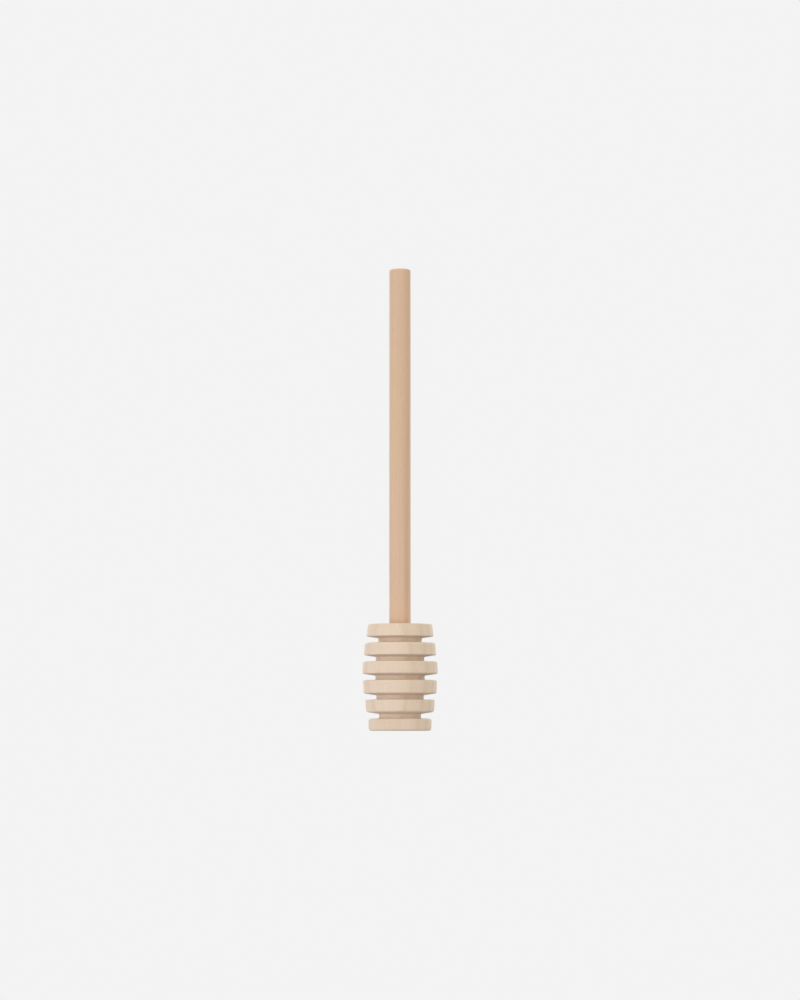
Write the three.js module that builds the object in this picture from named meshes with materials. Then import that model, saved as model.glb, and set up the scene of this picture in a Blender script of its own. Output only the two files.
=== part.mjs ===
// A honey dipper: a turned wooden head, cut into rings by deep grooves, on a plain
// dowel handle that is glued into a drilled socket in the head.
// Millimetres, +Z up. The origin is the middle of the head's flat foot, and every
// piece is turned round the Z axis.

import * as THREE from "three";

// Whole object
const OVERALL_LENGTH = 151; // foot of the head to tip of the handle

// Handle, a length of dowel
const HANDLE_DIAMETER = 7;
const HANDLE_TIP_EDGE_RADIUS = 0.8;
const HANDLE_LEAD_IN = 0.6; // 45 degree chamfer on the glued end

// Head, a barrel cut into rings
const RING_COUNT = 6;
const RING_THICKNESS = 3.9; // at the outer edge
const RING_EDGE_RADIUS = 0.5;
const RING_TOP_ANGLE = 2; // degrees by which a groove's lower wall rises towards the axis
const RING_UNDERSIDE_ANGLE = 7.5; // degrees by which a groove's upper wall falls towards the axis
const RING_TAPER_SHARE = 0.5; // of the barrel's own taper that the side of each ring has
const FOOT_EDGE_RADIUS = 0.9; // outer edge of the face that the dipper stands on
const GROOVE_WIDTH = 2.25; // at the mouth
const GROOVE_DEPTH = 4.2; // below the barrel's surface
const GROOVE_FILLET_RADIUS = 0.3;
const BARREL_DIAMETER = 24.5; // at its fattest
const BARREL_SIDE_RADIUS = 68; // of the arc that the barrel's side follows
const BARREL_RISE = 1.2; // of the fattest place above the middle of the head

// Socket, a blind hole drilled down from the head's top face
const SOCKET_DEPTH = 20; // of the straight part
const DRILL_POINT_ANGLE = 118; // degrees across the cone at the hole's end
const GLUE_THICKNESS = 0.15; // between handle and socket, on the side and under the end
const GLUE_SETBACK = 1; // of the glue's rim below the socket's mouth

// Facets
const FACETS_AROUND = 48;
const CHORDS_PER_CORNER = 2;

// Worked out from the above
const HANDLE_RADIUS = HANDLE_DIAMETER / 2;
const RING_PITCH = RING_THICKNESS + GROOVE_WIDTH;
const RING_TOP_SLOPE = Math.tan(THREE.MathUtils.degToRad(RING_TOP_ANGLE));
const RING_UNDERSIDE_SLOPE = Math.tan(THREE.MathUtils.degToRad(RING_UNDERSIDE_ANGLE));
const HEAD_LENGTH = RING_COUNT * RING_PITCH - GROOVE_WIDTH;
const BARREL_FATTEST_Z = HEAD_LENGTH / 2 + BARREL_RISE;
const SOCKET_RADIUS = HANDLE_RADIUS + GLUE_THICKNESS;
const SOCKET_FLOOR_Z = HEAD_LENGTH - SOCKET_DEPTH;
const DRILL_POINT_HALF_ANGLE = THREE.MathUtils.degToRad(DRILL_POINT_ANGLE / 2);
const DRILL_POINT_Z = SOCKET_FLOOR_Z - SOCKET_RADIUS / Math.tan(DRILL_POINT_HALF_ANGLE);
const HANDLE_END_Z = SOCKET_FLOOR_Z + GLUE_THICKNESS;
const GLUE_RIM_Z = HEAD_LENGTH - GLUE_SETBACK;

const headWood = new THREE.MeshStandardMaterial({ color: 0xe2cdb5, roughness: 0.62, metalness: 0 });
const handleWood = new THREE.MeshStandardMaterial({ color: 0xd6b698, roughness: 0.58, metalness: 0 });
const driedGlue = new THREE.MeshStandardMaterial({ color: 0xe9dfc4, roughness: 0.35, metalness: 0 });

// Radius of the uncut barrel at a height above the foot.
function barrelRadius(z) {
  const sagitta = BARREL_SIDE_RADIUS - Math.sqrt(BARREL_SIDE_RADIUS ** 2 - (z - BARREL_FATTEST_Z) ** 2);
  return BARREL_DIAMETER / 2 - sagitta;
}

// The points of the arc that eases the corner between two straight edges.
function easedCorner(before, corner, after, radius) {
  const back = before.clone().sub(corner).normalize();
  const ahead = after.clone().sub(corner).normalize();
  const halfAngle = Math.acos(back.dot(ahead)) / 2;
  const tangentLength = radius / Math.tan(halfAngle);
  const inward = back.clone().add(ahead).setLength(radius / Math.sin(halfAngle));
  const centre = corner.clone().add(inward);
  const start = back.multiplyScalar(tangentLength).sub(inward);
  const end = ahead.multiplyScalar(tangentLength).sub(inward);
  const clockwise = start.cross(end) < 0;
  const arc = new THREE.ArcCurve(centre.x, centre.y, radius, start.angle(), end.angle(), clockwise);
  return arc.getPoints(CHORDS_PER_CORNER);
}

// A half section from corners given as [radius, height, easing radius]. It starts and ends on the axis.
function halfSection(corners) {
  const points = corners.map(([radius, z]) => new THREE.Vector2(radius, z));
  return corners.flatMap(([, , easing], i) => {
    if (!easing) return [points[i]];
    return easedCorner(points[i - 1], points[i], points[i + 1], easing);
  });
}

// A piece turned round the lathe's own Y axis.
function turnedPiece(name, corners, material) {
  const piece = new THREE.Mesh(new THREE.LatheGeometry(halfSection(corners), FACETS_AROUND), material);
  piece.name = name;
  return piece;
}

// The side of a ring, with its middle on the barrel.
function ringSide(ring) {
  const lowerZ = ring * RING_PITCH;
  const upperZ = lowerZ + RING_THICKNESS;
  const middleRadius = barrelRadius((lowerZ + upperZ) / 2);
  const taper = RING_TAPER_SHARE * (barrelRadius(upperZ) - barrelRadius(lowerZ));
  const lowerRadius = middleRadius - taper / 2;
  const upperRadius = middleRadius + taper / 2;
  return { lowerZ, upperZ, lowerRadius, upperRadius };
}

// One ring of the head, from its lower to its upper outer edge.
function ringCorners(ring) {
  const side = ringSide(ring);
  const lowerEdgeRadius = ring === 0 ? FOOT_EDGE_RADIUS : RING_EDGE_RADIUS;
  return [
    [side.lowerRadius, side.lowerZ, lowerEdgeRadius],
    [side.upperRadius, side.upperZ, RING_EDGE_RADIUS],
  ];
}

// The floor of the groove above a ring, between walls that slope towards each other.
function grooveCorners(ring) {
  const below = ringSide(ring);
  const above = ringSide(ring + 1);
  const floorRadius = barrelRadius((below.upperZ + above.lowerZ) / 2) - GROOVE_DEPTH;
  const lowerZ = below.upperZ + (below.upperRadius - floorRadius) * RING_TOP_SLOPE;
  const upperZ = above.lowerZ - (above.lowerRadius - floorRadius) * RING_UNDERSIDE_SLOPE;
  return [
    [floorRadius, lowerZ, GROOVE_FILLET_RADIUS],
    [floorRadius, upperZ, GROOVE_FILLET_RADIUS],
  ];
}

function makeHead() {
  const corners = [[0, 0, 0]];
  for (let ring = 0; ring < RING_COUNT; ring++) {
    corners.push(...ringCorners(ring));
    if (ring < RING_COUNT - 1) corners.push(...grooveCorners(ring));
  }
  corners.push([SOCKET_RADIUS, HEAD_LENGTH, 0]);
  corners.push([SOCKET_RADIUS, SOCKET_FLOOR_Z, 0]);
  corners.push([0, DRILL_POINT_Z, 0]);
  return turnedPiece("dipper_head", corners, headWood);
}

function makeHandle() {
  const corners = [
    [0, HANDLE_END_Z, 0],
    [HANDLE_RADIUS - HANDLE_LEAD_IN, HANDLE_END_Z, 0],
    [HANDLE_RADIUS, HANDLE_END_Z + HANDLE_LEAD_IN, 0],
    [HANDLE_RADIUS, OVERALL_LENGTH, HANDLE_TIP_EDGE_RADIUS],
    [0, OVERALL_LENGTH, 0],
  ];
  return turnedPiece("handle", corners, handleWood);
}

// The dried glue fills the socket round the handle and the drill's cone under it.
function makeGlue() {
  const corners = [
    [0, DRILL_POINT_Z, 0],
    [SOCKET_RADIUS, SOCKET_FLOOR_Z, 0],
    [SOCKET_RADIUS, GLUE_RIM_Z, 0],
    [HANDLE_RADIUS, GLUE_RIM_Z, 0],
    [HANDLE_RADIUS, HANDLE_END_Z + HANDLE_LEAD_IN, 0],
    [HANDLE_RADIUS - HANDLE_LEAD_IN, HANDLE_END_Z, 0],
    [0, HANDLE_END_Z, 0],
  ];
  return turnedPiece("glue_film", corners, driedGlue);
}

const honeyDipper = new THREE.Group();
honeyDipper.add(makeHead(), makeHandle(), makeGlue());
honeyDipper.rotation.x = Math.PI / 2; // stands the lathe's axis up along +Z

const part = new THREE.Group();
part.add(honeyDipper);

export default part;
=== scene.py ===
"""Looks of a wooden honey dipper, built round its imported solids.

Metres, +Z up. The dipper stands on the origin with its axis along Z, and the camera
looks along +Y from a little below.
"""

import math
import random
from collections import namedtuple

import bpy
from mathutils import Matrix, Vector, noise


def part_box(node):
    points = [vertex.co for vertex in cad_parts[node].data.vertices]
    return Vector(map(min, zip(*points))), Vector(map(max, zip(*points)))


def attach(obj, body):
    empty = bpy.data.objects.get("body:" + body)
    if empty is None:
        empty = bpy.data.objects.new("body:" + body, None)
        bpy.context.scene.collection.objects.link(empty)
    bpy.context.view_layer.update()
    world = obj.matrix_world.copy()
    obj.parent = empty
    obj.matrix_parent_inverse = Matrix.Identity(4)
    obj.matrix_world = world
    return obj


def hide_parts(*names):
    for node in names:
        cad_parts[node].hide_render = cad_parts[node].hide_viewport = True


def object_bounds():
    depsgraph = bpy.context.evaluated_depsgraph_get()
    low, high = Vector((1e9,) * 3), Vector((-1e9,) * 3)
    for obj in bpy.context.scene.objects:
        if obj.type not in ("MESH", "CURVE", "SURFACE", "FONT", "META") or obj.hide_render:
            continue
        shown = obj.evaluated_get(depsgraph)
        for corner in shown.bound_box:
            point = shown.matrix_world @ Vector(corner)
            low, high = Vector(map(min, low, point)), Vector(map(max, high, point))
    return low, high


MM = 0.001

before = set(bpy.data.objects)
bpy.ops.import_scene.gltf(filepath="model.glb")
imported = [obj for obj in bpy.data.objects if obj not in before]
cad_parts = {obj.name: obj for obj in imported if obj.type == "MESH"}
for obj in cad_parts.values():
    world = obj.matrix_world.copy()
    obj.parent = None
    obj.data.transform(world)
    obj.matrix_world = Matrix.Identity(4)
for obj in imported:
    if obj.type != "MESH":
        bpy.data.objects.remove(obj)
cad_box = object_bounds()

# Places that the frame gives
_, head_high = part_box("dipper_head")
handle_low, handle_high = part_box("handle")
glue_low, glue_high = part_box("glue_film")
HEAD_TOP = head_high.z
HANDLE_END = handle_low.z
HANDLE_TIP = handle_high.z
HANDLE_RADIUS = handle_high.x
SOCKET_RADIUS = glue_high.x
SOCKET_POINT = glue_low.z
MIDDLE = (cad_box[0] + cad_box[1]) / 2

# Rings of the head from the foot up, in millimetres: height of the lower and of the upper edge, radius of
# the side at those edges, and their easing radius. The rings differ a little.
RING_TABLE = (
    (0, 3.9, 10.2, 10.3, 0.9, 0.7),
    (6.1, 10.05, 11.1, 11.3, 1.0, 0.4),
    (12.15, 16.4, 11.9, 12.05, 0.6, 0.5),
    (18.55, 22.45, 12.35, 12.15, 0.5, 0.35),
    (24.6, 28.55, 11.8, 11.5, 0.3, 0.5),
    (30.7, HEAD_TOP / MM, 10.98, 10.4, 0.3, 0.4),
)
Ring = namedtuple("Ring", "low high lower_radius upper_radius lower_easing upper_easing")
RINGS = [Ring(*[value * MM for value in row]) for row in RING_TABLE]

# Grooves between the rings
GROOVE_FLOORS = [radius * MM for radius in (6.8, 7.7, 8.0, 7.9, 7.1)]  # from the foot up
GROOVE_FILLET_RADIUS = 0.3 * MM
UNDERSIDE_SLOPE = math.tan(math.radians(8.5))  # the rings thicken towards the axis
TOP_SLOPE = math.tan(math.radians(2))
TOOL_MARK_SPACING = 0.25 * MM  # of the marks that the lathe's tool leaves
TOOL_MARK_DEPTH = 0.07 * MM  # on the floors of the grooves
TOOL_MARK_MARGIN = 1.5 * GROOVE_FILLET_RADIUS  # at both ends of a floor

# Socket and handle
SOCKET_POINT_ANGLE = math.radians(118)
SOCKET_MOUTH_RADIUS = 0.12 * MM
TIP_EDGE_RADIUS = 0.6 * MM
GLUED_END_CHAMFER = 0.6 * MM

# Unevenness, from noise that runs from about -1 to 1
RING_WOBBLE = 0.03 * MM  # by which a ring is out of round
RING_WOBBLE_HEIGHT = 6 * MM  # over which that changes
RING_WOBBLE_RATE = 1.3  # at which it changes round the axis
RING_BRUISE_DEPTH = 0.16 * MM
RING_BRUISE_SIZE = 1.1 * MM
RING_BRUISE_LEVEL = 0.25  # of the noise where a bruise starts
HANDLE_WOBBLE = 0.025 * MM
HANDLE_WOBBLE_HEIGHT = 30 * MM
HANDLE_WOBBLE_RATE = 1.2
TIP_BRUISE_DEPTH = 0.12 * MM
TIP_BRUISE_SIZE = 0.9 * MM
TIP_BRUISE_LEVEL = 0.2

# Turned meshes
FACETS_AROUND = 192
CORNER_STEP = math.radians(12)
HEAD_STEP = 0.4 * MM  # most between two points of the half section
HANDLE_STEP = 2 * MM
SHARP_ANGLE = math.radians(35)
BAKE_MAP = "OFBake"
ALONG_SECTION = "along_section"
EDGE_WEAR = "edge_wear"


def eased_corner(before, corner, after, radius):
    """Points of the arc that eases a corner, as (radius, height, wear). Only an outer corner wears."""
    back = (before - corner).normalized()
    ahead = (after - corner).normalized()
    half_angle = back.angle(ahead) / 2
    reach = radius / math.tan(half_angle)
    centre = corner + (back + ahead).normalized() * radius / math.sin(half_angle)
    start = corner + back * reach - centre
    end = corner + ahead * reach - centre
    first = math.atan2(start.y, start.x)
    sweep = (math.atan2(end.y, end.x) - first + math.pi) % math.tau - math.pi
    steps = max(2, round(abs(sweep) / CORNER_STEP))
    points = []
    for i in range(steps + 1):
        angle = first + sweep * i / steps
        wear = math.sin(math.pi * i / steps) if sweep > 0 else 0
        points.append((centre.x + radius * math.cos(angle), centre.y + radius * math.sin(angle), wear))
    return points


def half_section(corners, step):
    """Close points (radius, height, wear) through corners given as (radius, height, easing radius)."""
    at = [Vector(corner[:2]) for corner in corners]
    coarse = []
    for i, (radius, z, easing) in enumerate(corners):
        if easing:
            coarse += eased_corner(at[i - 1], at[i], at[i + 1], easing)
        else:
            coarse.append((radius, z, 0))
    fine = [coarse[0]]
    for here, there in zip(coarse, coarse[1:]):
        pieces = max(1, math.ceil(math.dist(here[:2], there[:2]) / step))
        for i in range(1, pieces + 1):
            share = i / pieces
            fine.append(tuple(a + (b - a) * share for a, b in zip(here, there)))
    return fine


def turned_piece(name, section, uneven):
    """A closed mesh turned from a half section that starts and ends on the axis.

    uneven(direction, radius, z, wear) is how far the surface stands out there. The mesh keeps
    the distance along the section and the wear of each point as attributes, and has a flat map
    of its surface, with the turn across and that distance up.
    """
    turns = [math.tau * i / FACETS_AROUND for i in range(FACETS_AROUND)]
    directions = [Vector((math.cos(turn), math.sin(turn), 0)) for turn in turns]
    points, along, wear_values = [], [], []
    rows = []
    distance = 0
    last = section[0]
    for radius, z, wear in section:
        distance += math.dist(last[:2], (radius, z))
        last = (radius, z)
        on_axis = radius == 0
        around = directions[:1] if on_axis else directions
        rows.append(range(len(points), len(points) + len(around)))
        for direction in around:
            out = 0 if on_axis else uneven(direction, radius, z, wear)
            points.append(direction * (radius + out) + Vector((0, 0, z)))
        along += [distance] * len(around)
        wear_values += [wear] * len(around)

    # At both ends the section is a single point on the axis, so the faces there are triangles
    faces, map_places = [], []
    last_row = len(section) - 2
    for row in range(last_row + 1):
        for i in range(FACETS_AROUND):
            corners = [(row, i), (row, i + 1), (row + 1, i + 1), (row + 1, i)]
            if row == 0:
                corners.pop(0)
            if row == last_row:
                corners.pop()
            face = [rows[at][turn % len(rows[at])] for at, turn in corners]
            faces.append(face)
            for (at, turn), point in zip(corners, face):
                map_places += (turn / FACETS_AROUND, along[point] / distance)

    mesh = bpy.data.meshes.new(name)
    mesh.from_pydata(points, [], faces)
    mesh.shade_smooth()
    mesh.set_sharp_from_angle(angle=SHARP_ANGLE)
    mesh.uv_layers.new(name=BAKE_MAP).data.foreach_set("uv", map_places)
    for label, values in ((ALONG_SECTION, along), (EDGE_WEAR, wear_values)):
        mesh.attributes.new(label, "FLOAT", "POINT").data.foreach_set("value", values)
    piece = bpy.data.objects.new(name, mesh)
    bpy.context.scene.collection.objects.link(piece)
    return piece


# Head

def groove_corners(groove):
    """Floor of a groove, with the lathe's marks, between walls that slope towards it."""
    below = RINGS[groove]
    above = RINGS[groove + 1]
    floor = GROOVE_FLOORS[groove]
    low = below.high + (below.upper_radius - floor) * TOP_SLOPE
    high = above.low - (above.lower_radius - floor) * UNDERSIDE_SLOPE
    first = low + TOOL_MARK_MARGIN
    last = high - TOOL_MARK_MARGIN
    chance = random.Random(groove)
    corners = [(floor, low, GROOVE_FILLET_RADIUS)]
    marks = round((last - first) / TOOL_MARK_SPACING)
    for i in range(marks + 1):
        z = first + (last - first) * i / marks
        corners.append((floor + TOOL_MARK_DEPTH * (chance.random() - 0.5), z, 0))
    corners.append((floor, high, GROOVE_FILLET_RADIUS))
    return corners


def head_corners():
    """Half section of the head: up its outside, then down into the socket."""
    corners = [(0, 0, 0)]
    for i, ring in enumerate(RINGS):
        corners.append((ring.lower_radius, ring.low, ring.lower_easing))
        corners.append((ring.upper_radius, ring.high, ring.upper_easing))
        if i < len(GROOVE_FLOORS):
            corners += groove_corners(i)
    point_height = SOCKET_RADIUS / math.tan(SOCKET_POINT_ANGLE / 2)
    corners.append((SOCKET_RADIUS, HEAD_TOP, SOCKET_MOUTH_RADIUS))
    corners.append((SOCKET_RADIUS, SOCKET_POINT + point_height, 0))
    corners.append((0, SOCKET_POINT, 0))
    return corners


def head_unevenness(direction, radius, z, wear):
    """Slow out-of-roundness of the rings, and small bruises along their edges. The socket is true."""
    if radius <= SOCKET_RADIUS:
        return 0
    up = Vector((0, 0, z / RING_WOBBLE_HEIGHT))
    wobble = noise.noise((direction + up) * RING_WOBBLE_RATE)
    bruise = max(0, noise.noise(direction * radius / RING_BRUISE_SIZE + up) - RING_BRUISE_LEVEL)
    return RING_WOBBLE * wobble - RING_BRUISE_DEPTH * bruise * wear


# Handle

def handle_corners():
    """Half section of the dowel, from its glued end up."""
    return [
        (0, HANDLE_END, 0),
        (HANDLE_RADIUS - GLUED_END_CHAMFER, HANDLE_END, 0),
        (HANDLE_RADIUS, HANDLE_END + GLUED_END_CHAMFER, 0),
        (HANDLE_RADIUS, HANDLE_TIP, TIP_EDGE_RADIUS),
        (0, HANDLE_TIP, 0),
    ]


def handle_unevenness(direction, radius, z, wear):
    """Slow out-of-roundness of the dowel above its socket, and small bruises round its tip."""
    if z < HEAD_TOP:
        return 0
    up = Vector((0, 0, z / HANDLE_WOBBLE_HEIGHT))
    wobble = noise.noise((direction + up) * HANDLE_WOBBLE_RATE)
    bruise = max(0, noise.noise(direction * radius / TIP_BRUISE_SIZE) - TIP_BRUISE_LEVEL)
    return HANDLE_WOBBLE * wobble * radius / HANDLE_RADIUS - TIP_BRUISE_DEPTH * bruise * wear


# Materials

def srgb(red, green, blue):
    """A colour given as 8-bit sRGB, as linear RGBA."""
    def linear(value):
        share = value / 255
        return share / 12.92 if share <= 0.04045 else ((share + 0.055) / 1.055) ** 2.4
    return (linear(red), linear(green), linear(blue), 1)


class Graph:
    """Makes a material's or a world's nodes. A value that is a socket is linked, and any other is set."""

    def __init__(self, owner):
        owner.use_nodes = True
        self.owner = owner
        self.tree = owner.node_tree
        self.tree.nodes.clear()

    def add(self, kind, values=None, **settings):
        """A new node, with values for its sockets, by name or number, and settings of its own."""
        node = self.tree.nodes.new(kind)
        for key, value in settings.items():
            setattr(node, key, value)
        for socket, value in (values or {}).items():
            if isinstance(value, bpy.types.NodeSocket):
                self.tree.links.new(value, node.inputs[socket])
            else:
                node.inputs[socket].default_value = value
        return node

    def math(self, operation, *values):
        return self.add("ShaderNodeMath", dict(enumerate(values)), operation=operation).outputs[0]

    def vector_math(self, operation, *values, output="Vector"):
        node = self.add("ShaderNodeVectorMath", dict(enumerate(values)), operation=operation)
        return node.outputs[output]

    def scaled(self, vector, factor):
        return self.add("ShaderNodeVectorMath", {0: vector, "Scale": factor}, operation="SCALE").outputs[0]

    def split(self, vector):
        return self.add("ShaderNodeSeparateXYZ", {0: vector}).outputs

    def joined(self, x=0.0, y=0.0, z=0.0):
        return self.add("ShaderNodeCombineXYZ", {0: x, 1: y, 2: z}).outputs[0]

    def weighted_sum(self, start, features, weights):
        """start plus each feature times the weight of that name."""
        total = start
        for name, weight in weights.items():
            total = self.math("MULTIPLY_ADD", features[name], weight, total)
        return total

    def noise(self, place, grain, detail=2.0, roughness=0.5):
        """Noise from 0 to 1, with grain as the size of its features along each axis in metres."""
        cells = self.vector_math("DIVIDE", place, grain)
        values = {"Vector": cells, "Scale": 1.0, "Detail": detail, "Roughness": roughness}
        return self.add("ShaderNodeTexNoise", values).outputs["Fac"]

    def smooth_step(self, value, low, high, start=0.0, end=1.0):
        """start where the value is below low, end where it is above high, and smooth between."""
        values = {"Value": value, "From Min": low, "From Max": high, "To Min": start, "To Max": end}
        return self.add("ShaderNodeMapRange", values, interpolation_type="SMOOTHSTEP").outputs["Result"]

    def mix(self, share, first, second):
        """A mix of two colours, which the Mix node takes at 6 and 7 and gives at its output 2."""
        node = self.add("ShaderNodeMix", {0: share, 6: first, 7: second}, data_type="RGBA")
        return node.outputs[2]

    def bump(self, distance, height):
        values = {"Strength": 1.0, "Distance": distance, "Height": height}
        return self.add("ShaderNodeBump", values).outputs[0]

    def object_place(self):
        return self.add("ShaderNodeTexCoord").outputs["Object"]

    def attribute(self, name):
        return self.add("ShaderNodeAttribute", attribute_name=name).outputs["Fac"]

    def finish(self, surface, output="ShaderNodeOutputMaterial"):
        self.add(output, {"Surface": surface})
        return self.owner


# Size of the wood's features along X, Y and Z, or for the rays round the tree, outwards and up
WANDER_GRAIN = (9 * MM, 9 * MM, 45 * MM)  # of the growth rings
LATE_GRAIN = (3 * MM, 3 * MM, 45 * MM)  # patches of stronger and weaker late wood
RAY_GRAIN = (0.8 * MM, 12 * MM, 3 * MM)
RAY_REACH = (0.09, 0.5, 0.4)  # of a ray from its middle, as a share of its grain
RAY_LINE_GRAIN = (0.16 * MM, 7 * MM, 3 * MM)
FIBRE_GRAIN = (0.22 * MM, 0.22 * MM, 11 * MM)
VESSEL_GRAIN = (0.1 * MM, 0.1 * MM, 2.4 * MM)
BAND_GRAIN = (1.3 * MM, 1.3 * MM, 60 * MM)
TINT_GRAIN = (7 * MM, 7 * MM, 50 * MM)

# What the features add to the wood's brightness, height and roughness
TONE_WEIGHTS = {"vessels": -0.02, "end_grain": -0.04, "ray_lines": 0.06, "wear": 0.03}
RELIEF_WEIGHTS = {"fibres": 0.014 * MM, "vessels": -0.01 * MM, "rays": -0.006 * MM}
ROUGHNESS_WEIGHTS = {"fibres": 0.14, "end_grain": 0.08, "wear": -0.06}

# Two woods. The pith is the tree's middle at the foot's height, and leans by so much for each metre up. The
# growth rings are a year wide and wander. In late wood, the last of each year, the colour darkens up to
# late_end before the year's end. Each share is how far the colour goes towards the one of that name, and
# end_share is for end grain, which goes towards the rays' colour.
HEAD_WOOD = {
    "pink": srgb(233, 212, 192),
    "yellow": srgb(231, 212, 187),
    "late": srgb(219, 191, 165),
    "late_share": 0.45,
    "ray": srgb(202, 170, 142),
    "ray_share": 0.3,
    "end_share": 0.35,
    "fibre_tone": 0.05,
    "band_tone": 0.05,
    "pith": (16.3 * MM, 42 * MM, 0),
    "lean": (0.004, 0.012, 0),
    "wander": 0.8 * MM,
    "year": 3.3 * MM,
    "late_width": 2.2 * MM,
    "late_end": 0.5 * MM,
    "tool_marks": 0.012 * MM,
    "roughness": 0.56,
}
HANDLE_WOOD = {
    "pink": srgb(221, 188, 158),
    "yellow": srgb(220, 188, 154),
    "late": srgb(199, 162, 131),
    "late_share": 0.3,
    "ray": srgb(178, 139, 109),
    "ray_share": 0.28,
    "end_share": 0.3,
    "fibre_tone": 0.1,
    "band_tone": 0.1,
    "pith": (9 * MM, 33.6 * MM, 0),
    "lean": (0.0021, 0.008, 0),
    "wander": 0.9 * MM,
    "year": 5.5 * MM,
    "late_width": 1.9 * MM,
    "late_end": 0.8 * MM,
    "tool_marks": 0.003 * MM,
    "roughness": 0.52,
}


def late_wood(g, place, out, look):
    """Growth rings: the last wood of each year darkens slowly and then ends in a short step."""
    year = look["year"]
    late_start = year - look["late_width"]
    late_end = year - look["late_end"]
    wandering_out = g.math("MULTIPLY_ADD", g.noise(place, WANDER_GRAIN), look["wander"], out)
    grown = g.math("FLOORED_MODULO", wandering_out, year)
    darkening = g.smooth_step(grown, late_start, late_end)
    ending = g.smooth_step(grown, late_end, year, start=1.0, end=0.0)
    patches = g.smooth_step(g.noise(place, LATE_GRAIN, detail=1.0), low=0.25, high=0.75, start=0.45)
    return g.math("MULTIPLY", g.math("MULTIPLY", darkening, ending), patches)


def ray_dashes(g, ray_place, outward, normal):
    """Rays, thin upright sheets that run outwards, as dark dashes on faces that look out from the pith."""
    cell = g.vector_math("DIVIDE", ray_place, RAY_GRAIN)
    nearest = g.add("ShaderNodeTexVoronoi", {"Vector": cell, "Scale": 1.0}).outputs["Position"]
    aside = g.vector_math("DIVIDE", g.vector_math("SUBTRACT", cell, nearest), RAY_REACH)
    away = g.vector_math("LENGTH", aside, output="Value")
    dashes = g.smooth_step(away, low=0.5, high=1.0, start=1.0, end=0.0)
    facing = g.math("ABSOLUTE", g.vector_math("DOT_PRODUCT", normal, outward, output="Value"))
    return g.math("MULTIPLY", dashes, g.smooth_step(facing, low=0.35, high=0.85))


def wood_features(g, look):
    """The features of straight-grained hardwood, each from 0 to 1, with the grain along Z."""
    place = g.object_place()
    pith = g.vector_math("ADD", g.scaled(look["lean"], g.split(place)[2]), look["pith"])
    x, y, z = g.split(g.vector_math("SUBTRACT", place, pith))
    out = g.math("SQRT", g.math("ADD", g.math("MULTIPLY", x, x), g.math("MULTIPLY", y, y)))
    across = g.math("MULTIPLY", g.math("ARCTAN2", y, x), Vector(look["pith"]).length)
    ray_place = g.joined(across, out, z)
    outward = g.vector_math("NORMALIZE", g.joined(x, y))
    normal = g.add("ShaderNodeNewGeometry").outputs["Normal"]
    end_grain = g.smooth_step(g.math("ABSOLUTE", g.split(normal)[2]), low=0.6, high=0.95)
    ray_lines = g.smooth_step(g.noise(ray_place, RAY_LINE_GRAIN, detail=1.0), low=0.5, high=0.72)
    vessels = g.noise(place, VESSEL_GRAIN, detail=1.0)
    along = g.joined(g.attribute(ALONG_SECTION))
    return {
        "late": late_wood(g, place, out, look),
        "rays": ray_dashes(g, ray_place, outward, normal),
        "ray_lines": g.math("MULTIPLY", ray_lines, end_grain),
        "end_grain": end_grain,
        "fibres": g.noise(place, FIBRE_GRAIN, detail=3.0, roughness=0.6),
        "vessels": g.smooth_step(vessels, low=0.6, high=0.74),
        "bands": g.noise(place, BAND_GRAIN, detail=1.0),
        "tint": g.smooth_step(g.noise(place, TINT_GRAIN, detail=1.0), low=0.3, high=0.7),
        "marks": g.noise(along, (TOOL_MARK_SPACING, 1.0, 1.0)),
        "wear": g.attribute(EDGE_WEAR),
    }


def wood(name, look):
    """Bare hardwood, the same all through."""
    g = Graph(bpy.data.materials.new(name))
    features = wood_features(g, look)

    colour = g.mix(features["tint"], look["pink"], look["yellow"])
    for feature, share, towards in (
        ("late", "late_share", "late"),
        ("rays", "ray_share", "ray"),
        ("end_grain", "end_share", "ray"),
    ):
        colour = g.mix(g.math("MULTIPLY", features[feature], look[share]), colour, look[towards])

    # Fibres and bands are 0.5 on average, so that on average they leave the colour as it is
    tone_weights = {"fibres": look["fibre_tone"], "bands": look["band_tone"], **TONE_WEIGHTS}
    plain_tone = 1.0 - 0.5 * (look["fibre_tone"] + look["band_tone"])
    tone = g.weighted_sum(plain_tone, features, tone_weights)
    relief = g.weighted_sum(0.0, features, {**RELIEF_WEIGHTS, "marks": look["tool_marks"]})

    surface = g.add(
        "ShaderNodeBsdfPrincipled",
        {
            "Base Color": g.scaled(colour, tone),
            "Roughness": g.weighted_sum(look["roughness"], features, ROUGHNESS_WEIGHTS),
            "Diffuse Roughness": 0.4,
            "Specular IOR Level": 0.4,
            "Sheen Weight": 0.2,
            "Sheen Roughness": 0.5,
            "Normal": g.bump(1.0, relief),
        },
    )
    return g.finish(surface.outputs[0])


# Glue
GLUE_DARK = srgb(226, 208, 164)
GLUE_PALE = srgb(238, 228, 200)
GLUE_CLOUD_GRAIN = (1.2 * MM, 1.2 * MM, 2 * MM)
GLUE_BUBBLE_GRAIN = (0.3 * MM, 0.3 * MM, 0.3 * MM)
GLUE_BUBBLE_HEIGHT = 0.02 * MM
GLUE_ROUGHNESS = 0.28
GLUE_CLOUD_ROUGHNESS = 0.2  # more where it is cloudy


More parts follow.
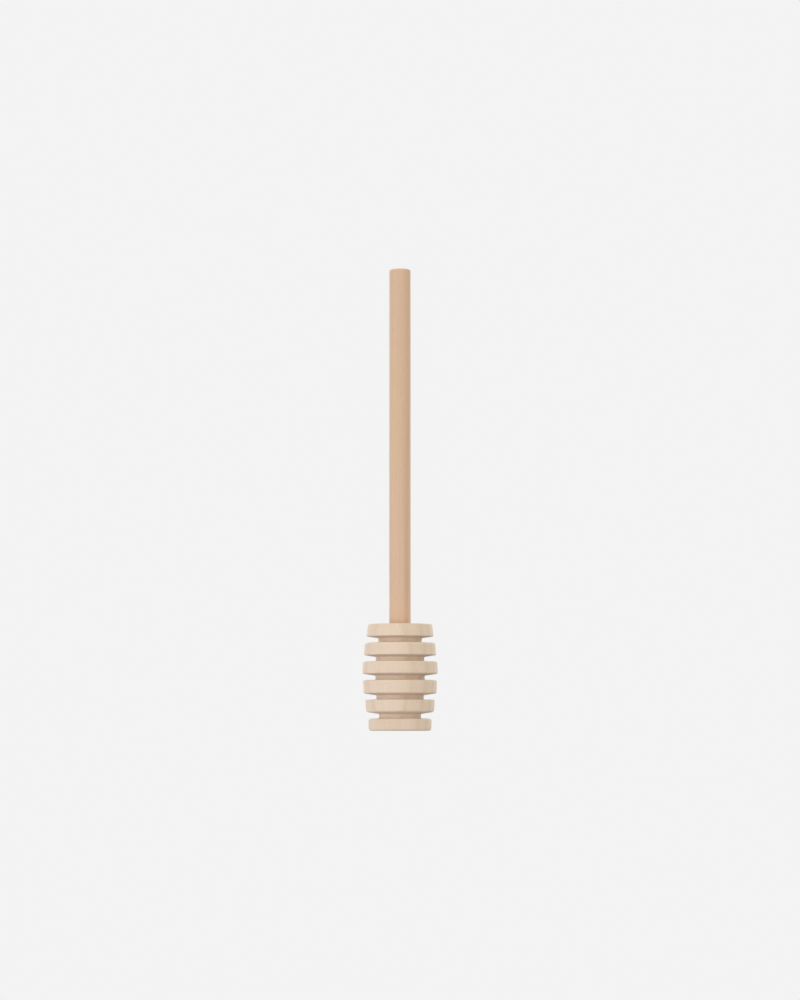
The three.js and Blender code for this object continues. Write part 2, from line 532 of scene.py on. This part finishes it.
def dried_glue():
    """Cloudy yellow glue with fine bubbles."""
    g = Graph(bpy.data.materials.new("dried_glue"))
    place = g.object_place()
    cloud = g.noise(place, GLUE_CLOUD_GRAIN, detail=3.0)
    bubbles = g.smooth_step(g.noise(place, GLUE_BUBBLE_GRAIN), low=0.62, high=0.7)
    values = {
        "Base Color": g.mix(cloud, GLUE_DARK, GLUE_PALE),
        "Roughness": g.math("MULTIPLY_ADD", cloud, GLUE_CLOUD_ROUGHNESS, GLUE_ROUGHNESS),
        "Normal": g.bump(GLUE_BUBBLE_HEIGHT, bubbles),
    }
    return g.finish(g.add("ShaderNodeBsdfPrincipled", values).outputs[0])


# Stage, light and camera

BACKGROUND = srgb(243, 243, 243)
SURROUND_LIGHT = 0.33
WHITE = (1, 1, 1)

FLOOR_DARK = srgb(240, 240, 240)
FLOOR_PALE = srgb(243, 243, 243)
FLOOR_CLOUD_GRAIN = (300 * MM, 300 * MM, 300 * MM)
FLOOR_RADIUS = 0.9
FLOOR_FADE = 0.3  # radius where the floor starts to fade
FLOOR_GLOW = 0.2  # brings the lit floor up to the background's level

# Soft boxes: name, azimuth and elevation in degrees, width and height, power in watts, and colour
LIGHT_DISTANCE = 1.6
SOFT_BOXES = (
    ("left", -60, -1, 1.2, 1.6, 11.7, (0.96, 1.0, 1.04)),
    ("front", -14, 0, 1.1, 1.0, 7.9, WHITE),
    ("right", 55, 8, 1.2, 2.4, 9.9, (1.0, 0.96, 0.91)),
    ("top", 0, 90, 0.8, 0.8, 7, WHITE),
    ("back_right", 142, 14, 1.2, 1.0, 7.5, WHITE),
    ("back_left", -172, 14, 0.8, 1.0, 10.5, WHITE),
)

VIEW_ELEVATION = math.radians(-3.9)
VIEW_DISTANCE = 1.2
VIEW_DROP = 0.26 * MM  # of the picture's middle below the object's
PHOTO_HEIGHT = 1000  # pixels
PHOTO_SCALE = 0.3267 * MM  # of the object in each pixel
SENSOR = 36.0  # millimetres along the picture's longer side, its height
CLIP_START = 0.01
CLIP_END = 100


def direction_to(azimuth, elevation):
    """Unit vector from the object. Azimuth 0 is towards the camera, and grows to its right."""
    level = math.cos(elevation)
    return Vector((math.sin(azimuth) * level, -math.cos(azimuth) * level, math.sin(elevation)))


def aim(thing, target, direction, distance):
    """Puts a lamp or camera at a distance from its target and points it there."""
    thing.location = target + direction * distance
    thing.rotation_mode = "QUATERNION"
    thing.rotation_quaternion = direction.to_track_quat("Z", "Y")
    bpy.context.scene.collection.objects.link(thing)


def add_soft_box(name, azimuth, elevation, width, height, power, colour):
    """A soft rectangular lamp that looks at the object's middle. The angles are in degrees."""
    lamp = bpy.data.lights.new(name, "AREA")
    lamp.color = colour
    lamp.shape = "RECTANGLE"
    lamp.size = width
    lamp.size_y = height
    lamp.energy = power
    direction = direction_to(math.radians(azimuth), math.radians(elevation))
    aim(bpy.data.objects.new(name, lamp), MIDDLE, direction, LIGHT_DISTANCE)


def add_surround():
    """An even surround, which shows as the plain background and lights the object less brightly."""
    world = bpy.data.worlds.new("surround")
    bpy.context.scene.world = world
    g = Graph(world)
    ray = g.add("ShaderNodeLightPath").outputs
    seen = g.math("MAXIMUM", ray["Is Camera Ray"], ray["Is Glossy Ray"])
    seen_or_clear = g.math("MAXIMUM", seen, ray["Is Transmission Ray"])
    light = g.add("ShaderNodeBackground", {"Color": (*WHITE, 1), "Strength": SURROUND_LIGHT}).outputs[0]
    picture = g.add("ShaderNodeBackground", {"Color": BACKGROUND}).outputs[0]
    shown = g.add("ShaderNodeMixShader", {0: seen_or_clear, 1: light, 2: picture}).outputs[0]
    g.finish(shown, "ShaderNodeOutputWorld")


def floor_paint():
    """Pale matt floor that shows, with the shadows on it, to the camera and from above only.

    It is about as pale as the background, and fades into it far from the object.
    """
    g = Graph(bpy.data.materials.new("floor_paint"))
    place = g.object_place()
    colour = g.mix(g.noise(place, FLOOR_CLOUD_GRAIN), FLOOR_DARK, FLOOR_PALE)
    matt = g.add("ShaderNodeBsdfDiffuse", {"Color": colour}).outputs[0]
    glow = g.add("ShaderNodeEmission", {"Color": colour, "Strength": FLOOR_GLOW}).outputs[0]
    top = g.add("ShaderNodeAddShader", {0: matt, 1: glow}).outputs[0]
    clear = g.add("ShaderNodeBsdfTransparent").outputs[0]
    seen = g.add("ShaderNodeLightPath").outputs["Is Camera Ray"]
    below = g.add("ShaderNodeNewGeometry").outputs["Backfacing"]
    away = g.vector_math("LENGTH", place, output="Value")
    near = g.smooth_step(away, FLOOR_FADE, FLOOR_RADIUS, start=1.0, end=0.0)
    shown = g.math("MULTIPLY", g.math("SUBTRACT", seen, below), near)
    return g.finish(g.add("ShaderNodeMixShader", {0: shown, 1: clear, 2: top}).outputs[0])


def add_floor():
    """A square floor under the dipper's foot."""
    corners = [(x * FLOOR_RADIUS, y * FLOOR_RADIUS, 0) for x, y in ((-1, -1), (1, -1), (1, 1), (-1, 1))]
    mesh = bpy.data.meshes.new("floor")
    mesh.from_pydata(corners, [], [(0, 1, 2, 3)])
    mesh.materials.append(floor_paint())
    floor = bpy.data.objects.new("floor", mesh)
    bpy.context.scene.collection.objects.link(floor)


def add_camera():
    """A camera that sees the object from the photograph's side and at its scale."""
    lens = bpy.data.cameras.new("camera")
    lens.sensor_width = SENSOR
    lens.lens = SENSOR * VIEW_DISTANCE / (PHOTO_HEIGHT * PHOTO_SCALE)
    lens.clip_start = CLIP_START
    lens.clip_end = CLIP_END
    camera = bpy.data.objects.new("camera", lens)
    aim(camera, MIDDLE - Vector((0, 0, VIEW_DROP)), direction_to(0, VIEW_ELEVATION), VIEW_DISTANCE)
    bpy.context.scene.camera = camera


# The dipper

def dress(piece, material, node):
    """Gives a piece its material and lets it stand for a CAD node."""
    piece.data.materials.append(material)
    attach(piece, "root")
    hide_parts(node)


head = turned_piece("turned_head", half_section(head_corners(), HEAD_STEP), head_unevenness)
dress(head, wood("head_wood", HEAD_WOOD), "dipper_head")

handle = turned_piece("dowel_handle", half_section(handle_corners(), HANDLE_STEP), handle_unevenness)
dress(handle, wood("handle_wood", HANDLE_WOOD), "handle")

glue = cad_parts["glue_film"]
glue.data.materials.clear()
glue.data.materials.append(dried_glue())

bpy.context.scene.view_settings.view_transform = "Standard"
add_surround()
add_floor()
for soft_box in SOFT_BOXES:
    add_soft_box(*soft_box)
add_camera()
